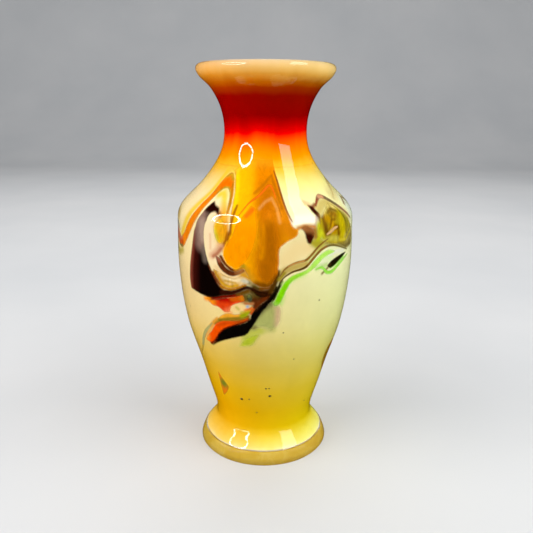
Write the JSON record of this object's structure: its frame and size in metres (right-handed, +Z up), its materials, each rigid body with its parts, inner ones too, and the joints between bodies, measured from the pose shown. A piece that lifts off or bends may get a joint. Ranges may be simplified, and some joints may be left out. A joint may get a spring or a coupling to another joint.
{
  "type": "art glass vase",
  "caption": "Hand blown cased glass vase with a flared lip, ruby neck, straw-tinted body, stretched bits of amber, aubergine and green glass, and a spread amber foot.",
  "frame": {"origin": "middle of the foot's flat underside", "axes": "+Z up along the vase's axis, -Y towards the side with the amber tongue"},
  "size_m": [0.0674, 0.0674, 0.15],
  "materials": {
    "opal_glass": "gloss",
    "straw_glass": "gloss",
    "clear_glass": "gloss",
    "honey_glass": "gloss",
    "caramel_glass": "gloss",
    "ruby_glass": "gloss",
    "flame_glass": "gloss",
    "amber_glass": "gloss",
    "ochre_glass": "gloss",
    "copper_glass": "gloss",
    "umber_glass": "gloss",
    "slate_glass": "gloss",
    "aubergine_glass": "gloss",
    "black_glass": "gloss",
    "olive_glass": "gloss",
    "lime_glass": "gloss",
    "sage_glass": "gloss",
    "mauve_glass": "gloss"
  },
  "bodies": {
    "root": {"opal_core": "opal_glass", "straw_gather": "straw_glass", "clear_casing": "clear_glass", "foot_pad": "honey_glass", "lip_wrap": "caramel_glass", "ruby_collar": "ruby_glass", "amber_collar": "flame_glass", "amber_tongue": "amber_glass", "orange_lobe": "flame_glass", "ochre_fold": "ochre_glass", "chevron_thread": "flame_glass", "brown_vein": "umber_glass", "orange_ribbon": "copper_glass", "slate_thread": "slate_glass", "amber_bulb": "amber_glass", "aubergine_crescent": "aubergine_glass", "umber_blot": "umber_glass", "cream_swirl": "ochre_glass", "red_flame": "flame_glass", "marigold_band": "flame_glass", "vermilion_wedge": "flame_glass", "black_slash": "black_glass", "moss_bead": "slate_glass", "olive_thread": "olive_glass", "lime_streak": "lime_glass", "lime_loop": "lime_glass", "black_chip": "black_glass", "lime_patch": "lime_glass", "sage_haze": "sage_glass", "umber_threads": "umber_glass", "aubergine_chips": "aubergine_glass", "mauve_thread": "mauve_glass", "olive_patch": "olive_glass", "blush_thread": "mauve_glass", "shoulder_ribbon": "mauve_glass", "orange_flakes": "amber_glass", "frit_specks": "black_glass", "back_tongue": "amber_glass", "back_ribbon": "copper_glass", "back_crescent": "aubergine_glass", "back_flame": "flame_glass", "back_slash": "black_glass", "back_lime_streak": "lime_glass", "back_sage_haze": "sage_glass"}
  },
  "joints": []
}
